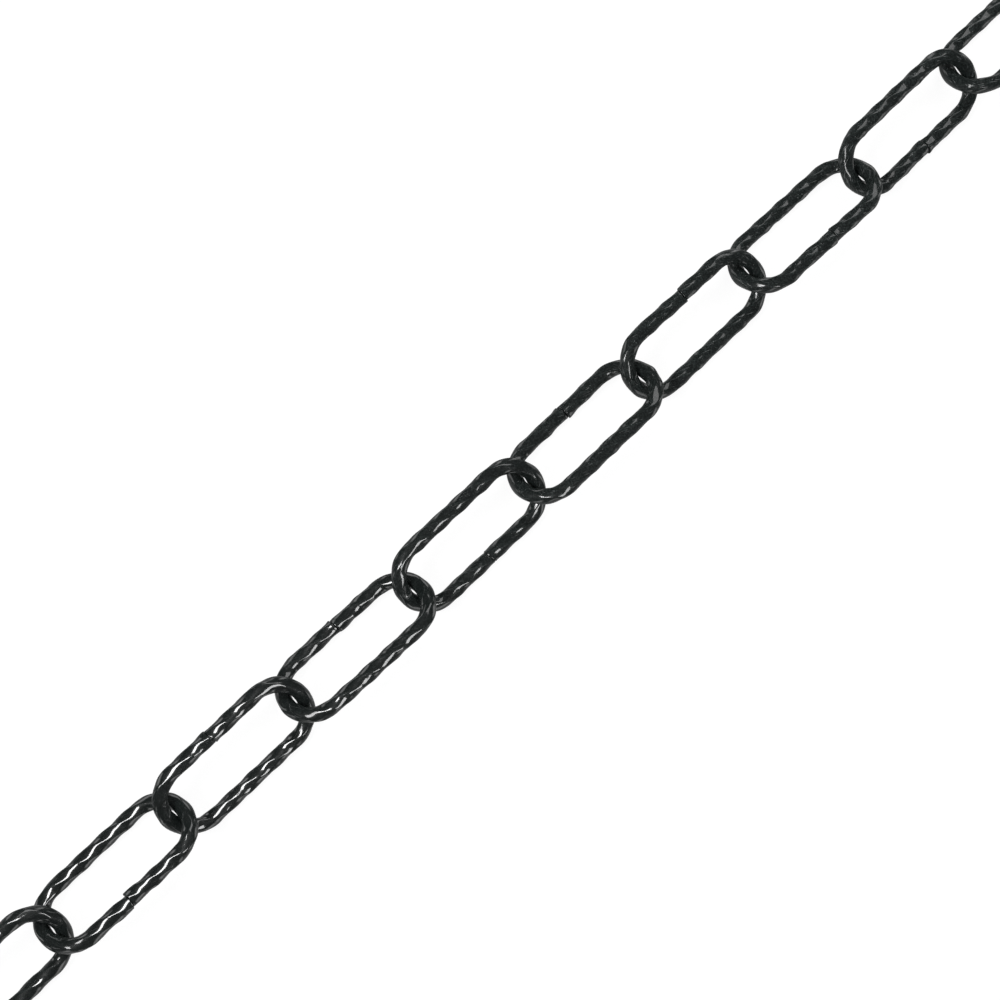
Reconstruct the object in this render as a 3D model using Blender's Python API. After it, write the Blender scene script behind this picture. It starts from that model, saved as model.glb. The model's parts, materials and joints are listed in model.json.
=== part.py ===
"""One metre of twisted link chain, lying straight on a level floor.

Each link is a long oval bent from square wire that was twisted right-handed and has well
rounded corners. A plain butt joint in the middle of one leg closes it. The chain lies along
X on the floor at z = 0. Every link leans on one of its legs, and its neighbours lean on the
other one. Lengths are in metres and angles in degrees.
"""

import math

import bpy
from mathutils import Matrix, Vector

# Driving dimensions of the wire and the link
WIRE = 0.003
CORNER_TO_FLAT = 1.11
TWIST_PITCH = 0.0222
INSIDE_LENGTH = 0.0315
OUTSIDE_WIDTH = 0.0165
BUTT_GAP = 0.0002

# Driving dimensions of the chain: CROWN_SPACING is from wire centre to wire centre where
# two links bear on each other, and leaves them a little slack
LINK_COUNT = 32
CROWN_SPACING = 0.00345

# How the links lie, for eight links that repeat along the chain: the lean away from flat,
# the turn about the vertical, and whether the butt joint is in the raised leg
LAY = (
    (32.0, 0.5, False),
    (31.5, 0.0, True),
    (33.0, -0.8, True),
    (32.0, 0.3, False),
    (31.0, 0.0, True),
    (32.0, 0.0, True),
    (33.0, -0.8, False),
    (31.5, 0.0, False),
)
SIDE_SHIFT = 0.0003

# A link swings about the crown that holds it. This pattern of axis directions lets the
# whole chain fold one way or the other without meeting itself.
SWING_SIGNS = (1, -1, -1, 1)

STATIONS = 37

# Sizes that follow from the ones above
FLAT_RADIUS = WIRE / (1 + CORNER_TO_FLAT)
CORNER_RADIUS = FLAT_RADIUS * CORNER_TO_FLAT
BEND_RADIUS = (OUTSIDE_WIDTH - WIRE) / 2
CROWN = (INSIDE_LENGTH + WIRE) / 2
HALF_LEG = CROWN - BEND_RADIUS
LOOP = 4 * HALF_LEG + 2 * math.pi * BEND_RADIUS
LINK_PITCH = 2 * CROWN - CROWN_SPACING


def clear_scene():
    for obj in list(bpy.data.objects):
        bpy.data.objects.remove(obj)


def add_collection(name):
    collection = bpy.data.collections.new(name)
    bpy.context.scene.collection.children.link(collection)
    return collection


def black_lacquer():
    """Glossy, nearly black lacquer on steel."""
    material = bpy.data.materials.new("black_lacquer")
    material.use_nodes = True
    shader = material.node_tree.nodes["Principled BSDF"]
    shader.inputs["Base Color"].default_value = (0.018, 0.019, 0.018, 1.0)
    shader.inputs["Roughness"].default_value = 0.22
    shader.inputs["Metallic"].default_value = 0.35
    return material


def wire_section(guides):
    """The square wire's section: four rounded corners, with the middle of each flat between them."""
    curve = bpy.data.curves.new("wire_section", "CURVE")
    curve.dimensions = "2D"
    outline = curve.splines.new("POLY")
    outline.points.add(7)
    outline.use_cyclic_u = True
    for step, point in enumerate(outline.points):
        radius = CORNER_RADIUS if step % 2 else FLAT_RADIUS
        angle = -step * math.pi / 4
        point.co = (radius * math.cos(angle), radius * math.sin(angle), 0.0, 1.0)
    section = bpy.data.objects.new("wire_section", curve)
    section.hide_render = True
    section.display_type = "WIRE"
    guides.objects.link(section)
    return section


def centreline(travel):
    """The point a distance along the oval, anticlockwise from the middle of its -Y leg."""
    if travel > LOOP / 2:
        return -centreline(travel - LOOP / 2)
    if travel < HALF_LEG:
        return Vector((travel, -BEND_RADIUS, 0.0))
    turned = (travel - HALF_LEG) / BEND_RADIUS
    if turned < math.pi:
        return Vector(
            (HALF_LEG + BEND_RADIUS * math.sin(turned), -BEND_RADIUS * math.cos(turned), 0.0)
        )
    return Vector((LOOP / 2 - travel, BEND_RADIUS, 0.0))


def link_curve(section, material):
    """One open oval of twisted wire in its own XY plane, long side along X, centred on its middle."""
    curve = bpy.data.curves.new("twisted_link", "CURVE")
    curve.dimensions = "3D"
    curve.twist_mode = "Z_UP"
    curve.bevel_mode = "OBJECT"
    curve.bevel_object = section
    curve.use_fill_caps = True
    wire = curve.splines.new("POLY")
    wire.points.add(STATIONS - 1)
    for step, point in enumerate(wire.points):
        travel = BUTT_GAP / 2 + (LOOP - BUTT_GAP) * step / (STATIONS - 1)
        point.co = (*centreline(travel), 1.0)
        point.tilt = 2 * math.pi * travel / TWIST_PITCH
    curve.materials.append(material)
    return curve


def plane_of(number):
    """Where a link lies: a matrix whose origin is the link's middle and whose XY plane is the link's."""
    lean, turn, _ = LAY[(number - 1) % len(LAY)]
    side = -1 if number % 2 else 1
    along = (number - (LINK_COUNT + 1) / 2) * LINK_PITCH
    height = BEND_RADIUS * math.sin(math.radians(lean)) + CORNER_RADIUS
    return (
        Matrix.Translation((along, side * SIDE_SHIFT, height))
        @ Matrix.Rotation(math.radians(turn), 4, "Z")
        @ Matrix.Rotation(math.radians(side * lean), 4, "X")
    )


def link_place(number):
    """The link's plane, turned over where that brings the butt joint into the leg it belongs in."""
    butt_raised = LAY[(number - 1) % len(LAY)][2]
    raised_as_bent = bool(number % 2)
    over = 0.0 if butt_raised == raised_as_bent else math.pi
    return plane_of(number) @ Matrix.Rotation(over, 4, "X")


def hinge_place(number):
    """The crown that holds a link: its origin is in the middle of that wire, and its Y axis is the swing axis."""
    sign = SWING_SIGNS[(number - 2) % len(SWING_SIGNS)]
    half_turn = 0.0 if sign > 0 else math.pi
    return (
        plane_of(number - 1)
        @ Matrix.Translation((CROWN, 0.0, 0.0))
        @ Matrix.Rotation(half_turn, 4, "X")
    )


def add_hinge(number, holder, collection):
    """An empty on the holding link's crown. Turning it about its Y axis swings the rest of the chain."""
    hinge = bpy.data.objects.new(f"hinge_{number:02d}", None)
    hinge.empty_display_size = WIRE
    hinge.parent = holder
    hinge.matrix_basis = link_place(number - 1).inverted() @ hinge_place(number)
    collection.objects.link(hinge)
    return hinge


def add_link(number, curve, hinge, collection):
    link = bpy.data.objects.new(f"link_{number:02d}", curve)
    link.matrix_basis = link_place(number)
    if hinge:
        link.parent = hinge
        link.matrix_basis = hinge_place(number).inverted() @ link_place(number)
    collection.objects.link(link)
    return link


def main():
    clear_scene()
    chain = add_collection("twisted_link_chain")
    guides = add_collection("guides")
    curve = link_curve(wire_section(guides), black_lacquer())
    link = add_link(1, curve, None, chain)
    for number in range(2, LINK_COUNT + 1):
        hinge = add_hinge(number, link, chain)
        link = add_link(number, curve, hinge, chain)
    bpy.context.view_layer.update()


main()
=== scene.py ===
"""Looks of one metre of black twisted link chain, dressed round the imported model.

The wire of each link is modelled finely: a rounded square section that is twisted
right-handed, unevenly lacquered, with its two ends butted in one leg. A link has its own
frame: X along its long side, Y across it and Z square to it. Lengths are in metres.
Angles are in radians, apart from those in BENDS and inside radians(), which are degrees.
"""

import json
import math

import bmesh
import bpy
import numpy as np
from bpy.props import FloatProperty, FloatVectorProperty, IntProperty, PointerProperty
from bpy.types import Operator, Panel, PropertyGroup
from mathutils import Matrix, Vector


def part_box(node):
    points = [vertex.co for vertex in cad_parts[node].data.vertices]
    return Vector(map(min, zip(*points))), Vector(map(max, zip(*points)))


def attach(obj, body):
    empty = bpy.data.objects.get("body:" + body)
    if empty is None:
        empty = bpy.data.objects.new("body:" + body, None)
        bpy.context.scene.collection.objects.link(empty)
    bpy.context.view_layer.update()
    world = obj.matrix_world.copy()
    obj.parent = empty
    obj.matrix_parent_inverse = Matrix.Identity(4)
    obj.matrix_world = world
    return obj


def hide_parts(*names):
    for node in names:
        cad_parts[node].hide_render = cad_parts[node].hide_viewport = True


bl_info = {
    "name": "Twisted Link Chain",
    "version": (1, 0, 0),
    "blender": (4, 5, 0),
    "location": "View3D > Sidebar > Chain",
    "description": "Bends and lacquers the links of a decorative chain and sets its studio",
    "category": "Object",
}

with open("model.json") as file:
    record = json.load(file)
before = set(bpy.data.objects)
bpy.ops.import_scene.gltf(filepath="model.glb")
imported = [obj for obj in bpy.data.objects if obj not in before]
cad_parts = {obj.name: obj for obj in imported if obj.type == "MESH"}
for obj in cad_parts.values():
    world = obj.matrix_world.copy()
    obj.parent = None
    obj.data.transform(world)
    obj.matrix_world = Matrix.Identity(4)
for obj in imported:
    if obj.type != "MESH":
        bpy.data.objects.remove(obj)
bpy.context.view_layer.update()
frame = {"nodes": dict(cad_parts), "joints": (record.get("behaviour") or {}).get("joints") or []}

SLOT = "black_lacquer"

# The chain as packed: one body, one node and one link to each number
LINK_COUNT = len(frame["nodes"])
HINGES = {joint["name"]: joint for joint in frame["joints"]}

# How eight links that repeat along the chain are bent: whether the butt joint is in the
# raised leg, how far it lies from the leg's middle towards +X, the turn of the square wire
# at the joint, and the extra twist that its first and its second bow hold
BENDS = (
    (False, 0.0001, 70, -6, -10),
    (True, 0.0014, 72, 9, -21),
    (True, 0.0014, 86, -17, 1),
    (False, 0.0003, 17, 19, -27),
    (True, -0.0015, 56, 5, -42),
    (True, -0.0009, 39, -38, 9),
    (False, -0.0002, 59, -43, 26),
    (False, 0.0004, 64, 4, -25),
)

# What cropping does to the wire's ends: how far from them the slant of their faces and the
# step between them reach, how far and how high the blunter one swells, and how far the dark
# of the seam reaches
SLANT_REACH = 0.0022
STEP_REACH = 0.006
SWELLING_REACH = 0.0006
SWELLING = 0.0001
SEAM_REACH = 0.00006

# Each link's uneven places are drawn at random, from this seed and its number together
SEED = 100

# Softboxes that look at the chain, and cards close above it that face straight down and that
# only reflections show: place, width and depth, and share of the studio's brightness
SOFTBOXES = {
    "start_softbox": ((-0.8, 0.42, 1.0), (0.55, 0.27), 0.5),
    "end_softbox": ((0.9, 0.38, 1.0), (1.1, 0.54), 0.125),
}
CARDS = {
    "near_left_card": ((-0.107, 0.024, 0.14), (0.08, 0.045), 1.0),
    "near_right_card": ((-0.03, -0.14, 0.14), (0.06, 0.11), 0.45),
}


class ChainWire(PropertyGroup):
    """The wire that the links are bent from."""

    thickness: FloatProperty(
        name="Thickness",
        description="Mean of the widths over the corners and over the flats",
        default=0.003,
        min=0.001,
        unit="LENGTH",
    )
    corner_to_flat: FloatProperty(
        name="Corner to Flat",
        description="Width over the corners divided by the width over the flats",
        default=1.093,
        min=1.0,
        max=1.14,
    )
    pitch: FloatProperty(
        name="Twist Pitch",
        description="Length of wire in one full right-hand turn",
        default=0.0222,
        min=0.005,
        unit="LENGTH",
    )
    bow_easing: FloatProperty(
        name="Bow Easing",
        description="Share of the ridges' height that is pressed away in the bows",
        default=0.3,
        subtype="FACTOR",
    )
    film: FloatProperty(
        name="Lacquer Film",
        description="Thickness of the lacquer on the wire",
        default=0.00002,
        unit="LENGTH",
    )
    gathered: FloatProperty(
        name="Gathered Lacquer",
        description="Extra lacquer inside the bows, where one link bears on the next",
        default=0.0001,
        unit="LENGTH",
    )
    lumps: FloatProperty(
        name="Lumps",
        description="Height of the uneven places in wire and lacquer",
        default=0.00002,
        unit="LENGTH",
    )
    wander: FloatProperty(
        name="Wander",
        description="How far the legs stray from dead straight",
        default=0.00006,
        unit="LENGTH",
    )
    sides: IntProperty(
        name="Sides",
        description="Faces round the wire, a multiple of eight",
        default=32,
        min=8,
    )
    stations: IntProperty(
        name="Stations",
        description="Rings of points along one link, without those of its cropped ends",
        default=296,
        min=32,
    )


class ChainLink(PropertyGroup):
    """The oval link and the butt joint that closes it."""

    inside_length: FloatProperty(
        name="Inside Length",
        description="Clear length inside the link",
        default=0.0315,
        unit="LENGTH",
    )
    outside_width: FloatProperty(
        name="Outside Width",
        description="Width over both legs",
        default=0.0165,
        unit="LENGTH",
    )
    butt_gap: FloatProperty(
        name="Butt Gap",
        description="Gap between the wire's two ends",
        default=0.00003,
        unit="LENGTH",
    )
    butt_step: FloatProperty(
        name="Butt Step",
        description="How far one end stands beside the other",
        default=0.0003,
        unit="LENGTH",
    )
    end_slant: FloatProperty(
        name="End Slant",
        description="How far the cropped ends lean out of square",
        default=0.00022,
        unit="LENGTH",
    )
    end_rounding: FloatProperty(
        name="End Rounding",
        description="Radius of the rim round each cropped end",
        default=0.0002,
        unit="LENGTH",
    )


class ChainLacquer(PropertyGroup):
    """The black finish and the dust on it."""

    colour: FloatVectorProperty(
        name="Lacquer",
        description="Colour of the clean lacquer",
        default=(0.0085, 0.011, 0.0105),
        subtype="COLOR",
    )
    dust_colour: FloatVectorProperty(
        name="Dust",
        description="Colour of the fine dust",
        default=(0.06, 0.075, 0.073),
        subtype="COLOR",
    )
    # Pale colour of the specks and scuffs: partly real scratches, partly a painted glint
    scuff_and_glint_colour: FloatVectorProperty(
        name="Scuffs",
        description="Colour of the small scuffs and specks",
        default=(0.2, 0.21, 0.21),
        subtype="COLOR",
    )
    gloss_roughness: FloatProperty(
        name="Gloss Roughness",
        description="Roughness of the clear top of the lacquer",
        default=0.07,
        subtype="FACTOR",
    )
    body_roughness: FloatProperty(
        name="Body Roughness",
        description="Roughness of the lacquer under its clear top",
        default=0.38,
        subtype="FACTOR",
    )


class ChainStudio(PropertyGroup):
    """Floor, lights and camera."""

    floor_tone: FloatProperty(
        name="Floor Tone",
        description="How much light the floor returns",
        default=0.14,
        subtype="FACTOR",
    )
    floor_glow: FloatProperty(
        name="Floor Glow",
        description="Light that the floor gives of its own, which thins the shadows",
        default=0.94,
    )
    wall_glow: FloatProperty(
        name="Wall Glow",
        description="Brightness of the wall behind the floor",
        default=0.9,
    )
    brightness: FloatProperty(
        name="Light Brightness",
        description="Radiance of the card over the chain's left. Other lights have shares of it",
        default=38.0,
    )
    screens: FloatProperty(
        name="Screens",
        description="Brightness of the pale screens that stand low around the chain",
        default=2.6,
    )
    horizon: FloatProperty(
        name="Horizon",
        description="Brightness of the surroundings low down, between the screens",
        default=0.05,
    )
    ground: FloatProperty(
        name="Ground",
        description="Brightness that the lacquer mirrors from below",
        default=0.3,
    )
    zenith: FloatProperty(
        name="Zenith",
        description="Brightness of the surroundings overhead",
        default=0.14,
    )
    camera_distance: FloatProperty(
        name="Camera Distance",
        description="From the camera to the point that it looks at",
        default=0.45,
        unit="LENGTH",
    )
    lens: FloatProperty(
        name="Lens",
        description="Focal length on a 36 mm sensor, in millimetres",
        default=82.66,
        unit="CAMERA",
    )


class Signal:
    """A value in a node tree. Python's operators on it add Math nodes."""

    def __init__(self, tree, socket=None):
        self.tree = tree
        self.socket = socket

    def node(self, kind, settings=None, inputs=None, output=0):
        """Adds a node with its settings, and values or links in its sockets. Gives an output."""
        node = self.tree.nodes.new(kind)
        for name, value in (settings or {}).items():
            setattr(node, name, value)
        for name, value in (inputs or {}).items():
            if isinstance(value, Signal):
                self.tree.links.new(value.socket, node.inputs[name])
            else:
                node.inputs[name].default_value = value
        return Signal(self.tree, node.outputs[output] if node.outputs else None)

    def math(self, operation, first, second=0.0):
        return self.node("ShaderNodeMath", {"operation": operation}, {0: first, 1: second})

    def __add__(self, other):
        return self.math("ADD", self, other)

    def __radd__(self, other):
        return self.math("ADD", other, self)

    def __sub__(self, other):
        return self.math("SUBTRACT", self, other)

    def __rsub__(self, other):
        return self.math("SUBTRACT", other, self)

    def __mul__(self, other):
        return self.math("MULTIPLY", self, other)

    def __rmul__(self, other):
        return self.math("MULTIPLY", other, self)

    def rise(self, low, high):
        """0 below low, 1 above high and smooth between them; falling where high is the lower."""
        return self.node(
            "ShaderNodeMapRange",
            {"interpolation_type": "SMOOTHSTEP"},
            {"Value": self, "From Min": low, "From Max": high},
        )

    def mix(self, first, second):
        """A colour between two, with this value as the share of the second."""
        # Of the Mix node's many sockets, inputs 6 and 7 and output 2 are those for colours
        return self.node(
            "ShaderNodeMix",
            {"data_type": "RGBA"},
            {"Factor": self, 6: first, 7: second},
            output=2,
        )

    def parts(self):
        """The X, Y and Z of a vector, each a value of its own."""
        apart = self.node("ShaderNodeSeparateXYZ", inputs={"Vector": self})
        return [Signal(self.tree, socket) for socket in apart.socket.node.outputs]


def bare_tree(owner):
    """The start of a material's or a world's nodes, with the usual ones taken out."""
    owner.use_nodes = True
    owner.node_tree.nodes.clear()
    return Signal(owner.node_tree)


def opaque(colour):
    return (*colour, 1.0)


def smoothstep(value):
    share = np.clip(value, 0.0, 1.0)
    return share * share * (3 - 2 * share)


def lacquer_material(lacquer):
    """Glossy near-black lacquer: orange peel, drawing streaks, dust, rubbed crowns, and specks and
    scuffs whose pale colour is partly a painted glint.
    """
    material = bpy.data.materials.new(SLOT)
    start = bare_tree(material)

    def attribute(name, output):
        return start.node("ShaderNodeAttribute", {"attribute_name": name}, output=output)

    def noise(vector, per_metre, detail=2.0):
        return start.node(
            "ShaderNodeTexNoise",
            {"normalize": True},
            {"Vector": vector, "Scale": per_metre, "Detail": detail, "Roughness": 0.55},
        )

    # Streaks and scuffs are about nine times as long along the wire as they are wide
    drawn_stretch = (0.11, 1.0, 1.0)
    place = start.node("ShaderNodeTexCoord", output="Object")
    ridge = attribute("ridge", "Fac")
    dust = attribute("dust", "Fac")
    rubbed = attribute("rubbed", "Fac")
    butt = attribute("butt", "Fac")
    drawn = start.node(
        "ShaderNodeVectorMath",
        {"operation": "MULTIPLY"},
        {0: attribute("drawn", "Vector"), 1: drawn_stretch},
    )

    dents = noise(place, per_metre=480.0, detail=1.0)
    peel = noise(place, per_metre=1100.0)
    grain = noise(place, per_metre=2800.0, detail=4.0)
    blotches = noise(place, per_metre=330.0, detail=3.0)
    streaks = noise(drawn, per_metre=2600.0, detail=3.0)
    scuffs = noise(drawn, per_metre=5200.0, detail=1.0).rise(0.66, 0.74)
    cells = start.node(
        "ShaderNodeTexVoronoi",
        inputs={"Vector": place, "Scale": 1300.0},
        output="Distance",
    )
    speckled = noise(place, per_metre=900.0, detail=0.0).rise(0.52, 0.6)
    specks = cells.rise(0.2, 0.08) * speckled

    # The veil is how thickly the dust lies. Specks and scuffs show best where it is thick; their
    # pale colour is partly a painted glint on real scratches
    blotched = blotches.rise(0.3, 0.72) * 0.5 + 0.5
    grained = grain.rise(0.4, 0.7) * 1.4 + 0.05
    veil = (dust * 0.7 + 0.3) * blotched * grained
    marks = (specks + scuffs) * (dust * 0.75 + 0.15)

    # How much the veil, the streaks, the worn ridges and the rubbed bows pale the lacquer
    streaked = ridge * streaks.rise(0.5, 0.8) * 0.06
    worn = ridge.rise(0.86, 1.0) * 0.1
    share = veil * 0.4 + streaked + worn + rubbed * 0.05
    seam_colour = opaque(0.35 * Vector(lacquer.colour))
    colour = share.mix(opaque(lacquer.colour), opaque(lacquer.dust_colour))
    # Specks and scuffs are painted pale: partly real scratches, partly a painted glint
    colour = (marks * 0.8).mix(colour, opaque(lacquer.scuff_and_glint_colour))
    colour = (butt * 0.8).mix(colour, seam_colour)

    relief = 0.000036
    fine = grain * (dust * 0.35 + 0.08)
    height = dents * 1.2 + peel * 0.8 + streaks * 0.6 + fine + marks * 0.3
    bump = start.node(
        "ShaderNodeBump",
        inputs={"Strength": 1.0, "Distance": relief, "Height": height},
    )

    # The veil and the streaks together add about this much to the roughness of the body
    usual_rise = 0.1
    surface = start.node(
        "ShaderNodeBsdfPrincipled",
        inputs={
            "Base Color": colour,
            "Roughness": veil * 0.3 + streaks * 0.12 + (lacquer.body_roughness - usual_rise),
            "Specular IOR Level": 0.06,
            "Coat Weight": 1.0 - dust * 0.3 - veil * 0.3 - marks * 0.4 - butt * 0.5,
            "Coat Roughness": lacquer.gloss_roughness,
            "Coat IOR": 1.42,
            "Normal": bump,
        },
    )
    start.node("ShaderNodeOutputMaterial", inputs={"Surface": surface})
    return material


def link_place(number):
    """Where a link lies: its middle, and its own X, Y and Z. The hinge on its far crown gives them.

    The last link has no such hinge. It lies as the one before it that is bent alike, moved by
    the distance between their boxes.
    """
    if number == LINK_COUNT:
        twin = number - len(BENDS)
        low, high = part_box(f"link_{number:02d}")
        twin_low, twin_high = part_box(f"link_{twin:02d}")
        return Matrix.Translation((low + high - twin_low - twin_high) / 2) @ link_place(twin)
    hinge = HINGES[f"swing_{number + 1:02d}"]
    across = Vector(hinge["axis"]).normalized()
    if across.y < 0:
        across.negate()
    along = Vector((across.y, -across.x, 0.0)).normalized()
    link = bpy.context.scene.chain_link
    crown = (link.inside_length + bpy.context.scene.chain_wire.thickness) / 2
    middle = Vector(hinge["pos_m"]) - crown * along
    turned = Matrix((along, across, along.cross(across))).transposed().to_4x4()
    return Matrix.Translation(middle) @ turned


def bent_place(number):
    """The link's place, turned over where that brings the butt joint into the leg it belongs in."""
    raised = BENDS[(number - 1) % len(BENDS)][0]
    over = 0.0 if raised == bool(number % 2) else math.pi
    return link_place(number) @ Matrix.Rotation(over, 4, "X")


def wire_section(wire):
    """Angles and radii of the points round the square section, spread evenly by the way they face.

    The half width changes smoothly from the flats to the corners, so the flats are a little
    crowned. The first point is the middle of a flat.
    """
    facing = 2 * math.pi * np.arange(wire.sides)[None, :] / wire.sides
    swell = (wire.corner_to_flat - 1) / (wire.corner_to_flat + 1)
    out = wire.thickness / 2 * (1 - swell * np.cos(4 * facing))
    aside = wire.thickness / 2 * 4 * swell * np.sin(4 * facing)
    return facing + np.arctan2(aside, out), np.hypot(out, aside)


def oval(travel, half_leg, bend):
    """Points along the oval from the middle of its -Y leg, the way outward, and the bow's turn."""
    half = 2 * half_leg + math.pi * bend
    along = travel % half
    turn = np.clip((along - half_leg) / bend, 0.0, math.pi)
    outward = np.stack([np.sin(turn), -np.cos(turn), np.zeros_like(turn)], -1)
    core = np.minimum(np.minimum(along, half - along), half_leg)
    point = bend * outward
    point[..., 0] += core
    sign = np.where(travel % (2 * half) < half, 1.0, -1.0)[..., None]
    return sign * point, sign * outward, turn


def uneven(travel, angle, height, rng):
    """Waves that run along and round the wire. The short ones are low, so that all slope alike."""
    shortest = 0.0014
    longest = 0.0075
    waves = 16
    total = np.zeros(np.broadcast(travel, angle).shape)
    for _ in range(waves):
        length = rng.uniform(shortest, longest)
        around = rng.integers(-3, 4)
        phase = rng.uniform(0.0, 2 * math.pi)
        wave = np.sin(2 * math.pi * travel / length + around * angle + phase)
        total += wave * length / longest
    # However many waves there are, together they are as rough as eight of the full height
    return height * total * math.sqrt(8 / waves)


def stray(travel, size, rng):
    """Slow bends of a leg, one wave upon another, each lower than the one before."""
    longest = 0.05
    waves = 3
    # The waves' heights of 1, 1/2 and 1/3 add up to about this
    highest = 1.8
    total = np.zeros_like(travel)
    for step in range(1, waves + 1):
        phase = rng.uniform(0.0, 2 * math.pi)
        total += np.sin(2 * math.pi * step * travel / longest + phase) / step
    return size * total / highest


def ring_plan(length, rounding, stations):
    """Three columns with a row for each ring of points, from one end of the wire to the other.

    They say where the ring lies along the wire, how much of the wire's thickness it spans, and
    how far the rounded rim draws it in. Two rings lie on each end's face and three on its rim.
    """
    start = [(0.0, 0.5, 0.0), (0.0, 0.82, 0.0)]
    for turn in np.radians((0.0, 30.0, 60.0)):
        start.append((rounding * (1 - math.cos(turn)), 1.0, rounding * (1 - math.sin(turn))))
    middle = [(at, 1.0, 0.0) for at in np.linspace(rounding, length - rounding, stations)]
    finish = [(length - at, fill, inset) for at, fill, inset in reversed(start)]
    return np.array(start + middle + finish).T[:, :, None]


def link_faces(rings, sides):
    """Quads along the wire and a fan on each end, whose middle points come after the rings."""
    here = np.arange(rings - 1)[:, None] * sides + np.arange(sides)
    beside = np.arange(rings - 1)[:, None] * sides + (np.arange(sides) + 1) % sides
    quads = np.stack([here, beside, beside + sides, here + sides], -1).reshape(-1, 4).tolist()
    first, last = rings * sides, rings * sides + 1
    end = (rings - 1) * sides
    fans = []
    for side in range(sides):
        after = (side + 1) % sides
        fans.append([first, after, side])
        fans.append([last, end + side, end + after])
    return quads + fans


def dust_level(number):
    """Dust lies in long drifts: clean round one link, dusty seven links on."""
    drift = 14
    cleanest = 13
    return smoothstep(0.5 - 0.5 * math.cos(2 * math.pi * (number - cleanest) / drift))


def link_surface(number, wire, link):
    """One link's points in the chain's frame, and what the lacquer needs to know at each."""
    rng = np.random.default_rng(SEED + number)
    bend = (link.outside_width - wire.thickness) / 2
    half_leg = (link.inside_length + wire.thickness) / 2 - bend
    loop = 4 * half_leg + 2 * math.pi * bend
    _, butt_at, turn_at_butt, *bow_twists = BENDS[(number - 1) % len(BENDS)]
    length = loop - link.butt_gap
    along, fill, inset = ring_plan(length, link.end_rounding, wire.stations)
    section, radius = wire_section(wire)

    # How the twisted wire is turned at each point
    start = butt_at + link.butt_gap / 2
    turned = section + 2 * math.pi * along / wire.pitch + math.radians(turn_at_butt)
    for twist, bow_starts in zip(bow_twists, (half_leg, half_leg + loop / 2)):
        passed = np.clip((start + along - bow_starts) / (math.pi * bend), 0.0, 1.0)
        turned = turned + math.radians(twist) * passed

    # The ends: how near, which one, and the slant and curl that both faces share
    near = np.minimum(along, length - along)
    end = np.where(along < length / 2, -1.0, 1.0)
    slant_way = rng.uniform(0.0, 2 * math.pi)
    curl_way = rng.uniform(0.0, 2 * math.pi)
    curl = 0.5 * np.sin(2 * turned + curl_way) * fill
    slant = link.end_slant * (np.cos(turned - slant_way) + curl)
    travel = start + along + slant * fill * (1 - smoothstep(near / SLANT_REACH))

    # The middle of the wire, the ray from it to each point, and where the bows are
    point, outward, turn = oval(travel, half_leg, bend)
    bow = np.sin(turn) ** 2
    upright = np.array([0.0, 0.0, 1.0])
    ray = np.cos(turned)[..., None] * upright + np.sin(turned)[..., None] * outward

    # The wire's surface: film, eased ridges, gathered lacquer, lumps and the blunter end
    mean = wire.thickness / 2
    radius = radius + wire.film
    radius = radius + (mean - radius) * wire.bow_easing * bow
    inner = np.clip(-np.sin(turned), 0.0, 1.0)
    radius = radius + wire.gathered * bow**2 * inner
    radius = radius + uneven(along, section, wire.lumps, rng)
    blunter = rng.choice((-1.0, 1.0))
    radius = radius + SWELLING * np.exp(-near / SWELLING_REACH) * (end == blunter)
    radius = (radius - inset) * fill

    # The step between the ends, mostly in the link's own plane, and the strays of the legs
    steepest = 0.6
    step_way = rng.uniform(-steepest, steepest) + rng.choice((0.0, math.pi))
    own_step = link.butt_step * rng.uniform(0.5, 1.3)
    step = end * own_step / 2 * (1 - smoothstep(near / STEP_REACH))
    legs = 1 - bow
    aside = step * math.cos(step_way) + stray(along, wire.wander, rng) * legs
    lifted = step * math.sin(step_way) + stray(along, wire.wander, rng) * legs
    point = point + aside[..., None] * outward + lifted[..., None] * upright
    centre_first, centre_last = point[0].mean(0), point[-1].mean(0)
    point = point + radius[..., None] * ray

    # Into the chain's frame, and no lower than the floor
    place = np.array(bent_place(number))
    points = np.concatenate([point.reshape(-1, 3), [centre_first, centre_last]])
    points = points @ place[:3, :3].T + place[:3, 3]
    points[:, 2] += max(0.0, -points[:, 2].min())

    # Dust lies thickest on top, and the insides of the bows are rubbed
    facing_up = np.clip((ray @ place[:3, :3].T)[..., 2], 0.0, 1.0)
    marks = {
        "ridge": (1 - np.cos(4 * section)) / 2 * (1 - bow * wire.bow_easing),
        "dust": dust_level(number) * (0.3 + 0.7 * facing_up),
        "rubbed": smoothstep((bow - 0.6) / 0.4) * inner**2,
        "butt": np.broadcast_to(np.exp(-near / SEAM_REACH), radius.shape),
    }

    # Places along and round the straight wire for the streaks, shifted from link to link
    shift = 0.01 * number
    drawn = np.stack(np.broadcast_arrays(along, mean * np.cos(section), mean * np.sin(section)), -1)
    return points, marks, drawn.reshape(-1, 3) + shift


def add_marks(mesh, marks, drawn):
    """Stores the finish's values on the mesh. The two end points take the value of their ring."""
    for name, values in marks.items():
        flat = np.concatenate([values.ravel(), [values[0, 0], values[-1, 0]]])
        layer = mesh.attributes.new(name, "FLOAT", "POINT")
        layer.data.foreach_set("value", flat.astype(np.float32))
    ends = np.concatenate([drawn, [drawn[0], drawn[-1]]])
    layer = mesh.attributes.new("drawn", "FLOAT_VECTOR", "POINT")
    layer.data.foreach_set("vector", ends.astype(np.float32).ravel())


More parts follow.
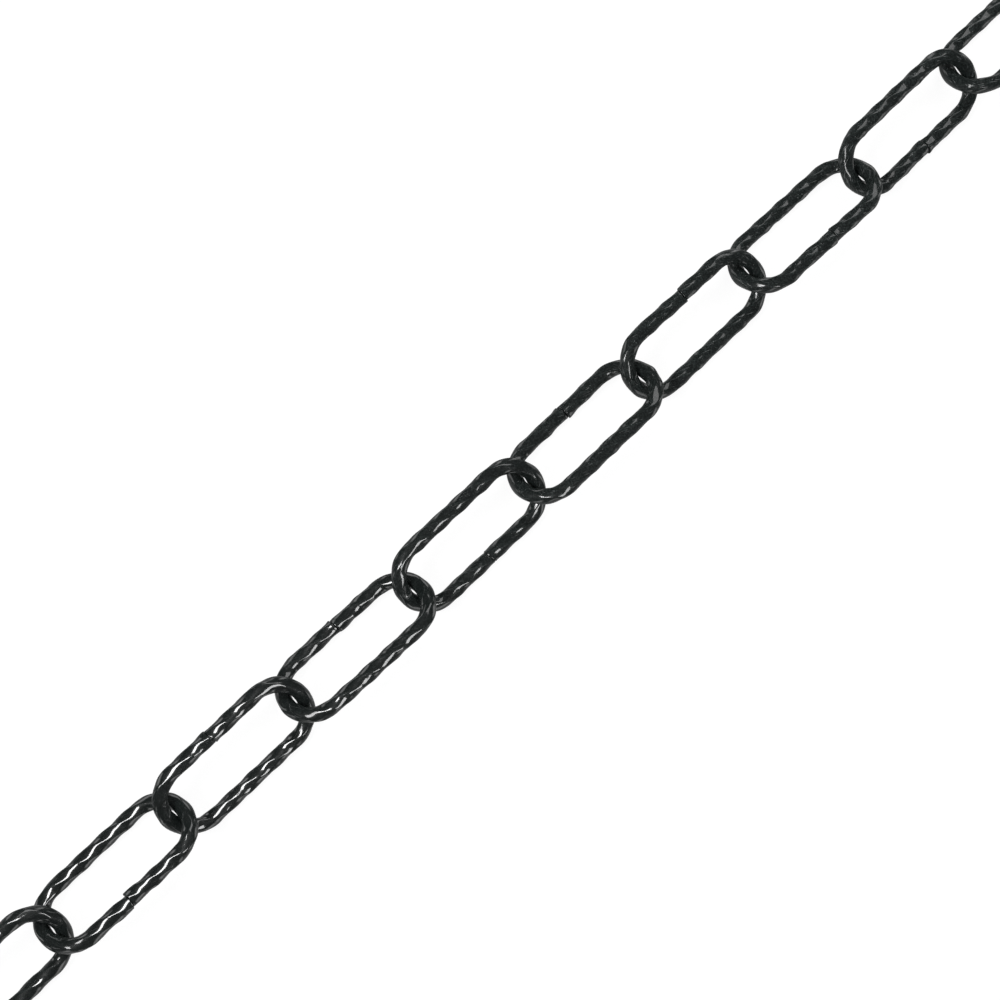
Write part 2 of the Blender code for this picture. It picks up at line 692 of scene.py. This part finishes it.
class CHAIN_OT_bend_links(Operator):
    """Bend every link from twisted wire and lacquer it"""

    bl_idname = "chain.bend_links"
    bl_label = "Bend Links"

    def execute(self, context):
        wire = context.scene.chain_wire
        link = context.scene.chain_link
        material = lacquer_material(context.scene.chain_lacquer)
        faces = None
        for number in range(1, LINK_COUNT + 1):
            node = f"link_{number:02d}"
            points, marks, drawn = link_surface(number, wire, link)
            if faces is None:
                faces = link_faces(len(drawn) // wire.sides, wire.sides)
            mesh = bpy.data.meshes.new(f"lacquered_{node}")
            mesh.from_pydata(points.tolist(), [], faces)
            mesh.shade_smooth()
            add_marks(mesh, marks, drawn)
            mesh.materials.append(material)
            piece = bpy.data.objects.new(f"lacquered_{node}", mesh)
            context.scene.collection.objects.link(piece)
            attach(piece, node)
            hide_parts(node)
        return {"FINISHED"}


def pale_material(name, tone, glow):
    """A matt, pale surface that also gives some light of its own."""
    material = bpy.data.materials.new(name)
    start = bare_tree(material)
    surface = start.node(
        "ShaderNodeBsdfPrincipled",
        inputs={
            "Base Color": opaque([tone] * 3),
            "Roughness": 0.9,
            "Specular IOR Level": 0.1,
            "Emission Color": opaque([1.0] * 3),
            "Emission Strength": glow,
        },
    )
    start.node("ShaderNodeOutputMaterial", inputs={"Surface": surface})
    return material


def add_backdrop(name, shape, material):
    """Turns a bmesh into a piece of the stage that gives no shadow and no reflection."""
    mesh = bpy.data.meshes.new(name)
    shape.to_mesh(mesh)
    shape.free()
    mesh.materials.append(material)
    piece = bpy.data.objects.new(name, mesh)
    piece.visible_shadow = False
    piece.visible_glossy = False
    bpy.context.scene.collection.objects.link(piece)
    return piece


def add_floor(studio):
    """A pale floor at z = 0 in a pale round wall. The lacquer mirrors the surroundings instead."""
    radius = 8.0
    height = 6.0
    sides = 96
    shape = bmesh.new()
    bmesh.ops.create_circle(shape, cap_ends=True, radius=radius, segments=sides)
    add_backdrop("floor", shape, pale_material("pale_floor", studio.floor_tone, studio.floor_glow))

    shape = bmesh.new()
    bmesh.ops.create_cone(
        shape,
        cap_ends=False,
        radius1=radius,
        radius2=radius,
        depth=height,
        segments=sides,
        matrix=Matrix.Translation((0.0, 0.0, height / 2)),
    )
    wall = add_backdrop("wall", shape, pale_material("pale_wall", 0.0, studio.wall_glow))
    wall.visible_diffuse = False


def add_light(name, place, size, radiance):
    """A rectangular light that faces straight down. The camera doesn't see it."""
    width, depth = size
    lamp = bpy.data.lights.new(name, "AREA")
    lamp.shape = "RECTANGLE"
    lamp.size = width
    lamp.size_y = depth
    lamp.energy = radiance * math.pi * width * depth
    light = bpy.data.objects.new(name, lamp)
    light.location = place
    light.visible_camera = False
    bpy.context.scene.collection.objects.link(light)
    return light


def add_surroundings(studio):
    """Dim overhead, so that the lacquer stays dark, and a ring of pale screens for its edges.

    A little more light comes from the -Y side. Heights are those of the way outward: -1 is
    straight down, 0 is level and 1 is straight up.
    """
    screen_count = 12
    first_screen = math.radians(85.0)
    front_fill = 0.06
    world = bpy.data.worlds.new("studio")
    start = bare_tree(world)
    x, y, height = start.node("ShaderNodeTexCoord", output="Generated").parts()
    turn = (start.math("ARCTAN2", y, x) - first_screen) * screen_count
    screens = start.math("COSINE", turn).rise(0.0, 1.0)
    low = height.rise(-0.5, -0.2) * height.rise(0.18, 0.0)
    overhead = height.rise(0.1, 0.8)
    sides = low * (screens * studio.screens + studio.horizon)
    front = (1.0 - y) * (1.0 - overhead) * front_fill
    below = height.rise(-0.15, -0.5) * studio.ground
    grey = sides + front + overhead * studio.zenith + below
    background = start.node("ShaderNodeBackground", inputs={"Color": grey, "Strength": 1.0})
    start.node("ShaderNodeOutputWorld", inputs={"Surface": background})
    bpy.context.scene.world = world


def add_camera(studio):
    """Looks down on the middle of the chain, which rises from lower left to upper right.

    The view is tilted along the chain, and a little across it.
    """
    target = Vector((-0.006316, 0.00124, 0.005))
    tilt_along = math.radians(9.436)
    tilt_across = math.radians(1.474)
    slope = math.radians(43.175)
    forward = Vector(
        (
            math.sin(tilt_along),
            math.sin(tilt_across) * math.cos(tilt_along),
            -math.cos(tilt_across) * math.cos(tilt_along),
        )
    )
    along = (Vector((1.0, 0.0, 0.0)) - forward.x * forward).normalized()
    across = along.cross(forward)
    right = along * math.cos(slope) - across * math.sin(slope)
    up = along * math.sin(slope) + across * math.cos(slope)
    lens = bpy.data.cameras.new("camera")
    lens.lens = studio.lens
    lens.sensor_width = 36.0
    lens.clip_start = 0.01
    camera = bpy.data.objects.new("camera", lens)
    turned = Matrix((right, up, -forward)).transposed().to_4x4()
    camera.matrix_world = Matrix.Translation(target - studio.camera_distance * forward) @ turned
    bpy.context.scene.collection.objects.link(camera)
    bpy.context.scene.camera = camera


class CHAIN_OT_set_stage(Operator):
    """Lay the floor, hang the lights and place the camera"""

    bl_idname = "chain.set_stage"
    bl_label = "Set Stage"

    def execute(self, context):
        studio = context.scene.chain_studio
        add_floor(studio)
        add_surroundings(studio)
        for name, (place, size, share) in SOFTBOXES.items():
            softbox = add_light(name, place, size, share * studio.brightness)
            softbox.rotation_euler = (-Vector(place)).to_track_quat("-Z", "Y").to_euler()
        for name, (place, size, share) in CARDS.items():
            card = add_light(name, place, size, share * studio.brightness)
            card.visible_diffuse = False
        add_camera(studio)
        context.scene.view_settings.view_transform = "Standard"
        return {"FINISHED"}


class CHAIN_PT_panel(Panel):
    """Sizes, colours and steps of the chain"""

    bl_idname = "CHAIN_PT_panel"
    bl_label = "Twisted Link Chain"
    bl_space_type = "VIEW_3D"
    bl_region_type = "UI"
    bl_category = "Chain"

    def draw(self, context):
        for title, operator, groups in (
            ("Links", "chain.bend_links", ("chain_wire", "chain_link", "chain_lacquer")),
            ("Stage", "chain.set_stage", ("chain_studio",)),
        ):
            box = self.layout.box()
            box.label(text=title)
            for name in groups:
                group = getattr(context.scene, name)
                for field in group.bl_rna.properties:
                    if field.identifier not in ("name", "rna_type"):
                        box.prop(group, field.identifier)
            box.operator(operator)


GROUPS = {
    "chain_wire": ChainWire,
    "chain_link": ChainLink,
    "chain_lacquer": ChainLacquer,
    "chain_studio": ChainStudio,
}
CLASSES = (*GROUPS.values(), CHAIN_OT_bend_links, CHAIN_OT_set_stage, CHAIN_PT_panel)


def register():
    for cls in CLASSES:
        bpy.utils.register_class(cls)
    for name, group in GROUPS.items():
        setattr(bpy.types.Scene, name, PointerProperty(type=group))


def unregister():
    for name in GROUPS:
        delattr(bpy.types.Scene, name)
    for cls in reversed(CLASSES):
        bpy.utils.unregister_class(cls)


def main():
    register()
    bpy.ops.chain.bend_links()
    bpy.ops.chain.set_stage()


if __name__ == "__main__":
    main()
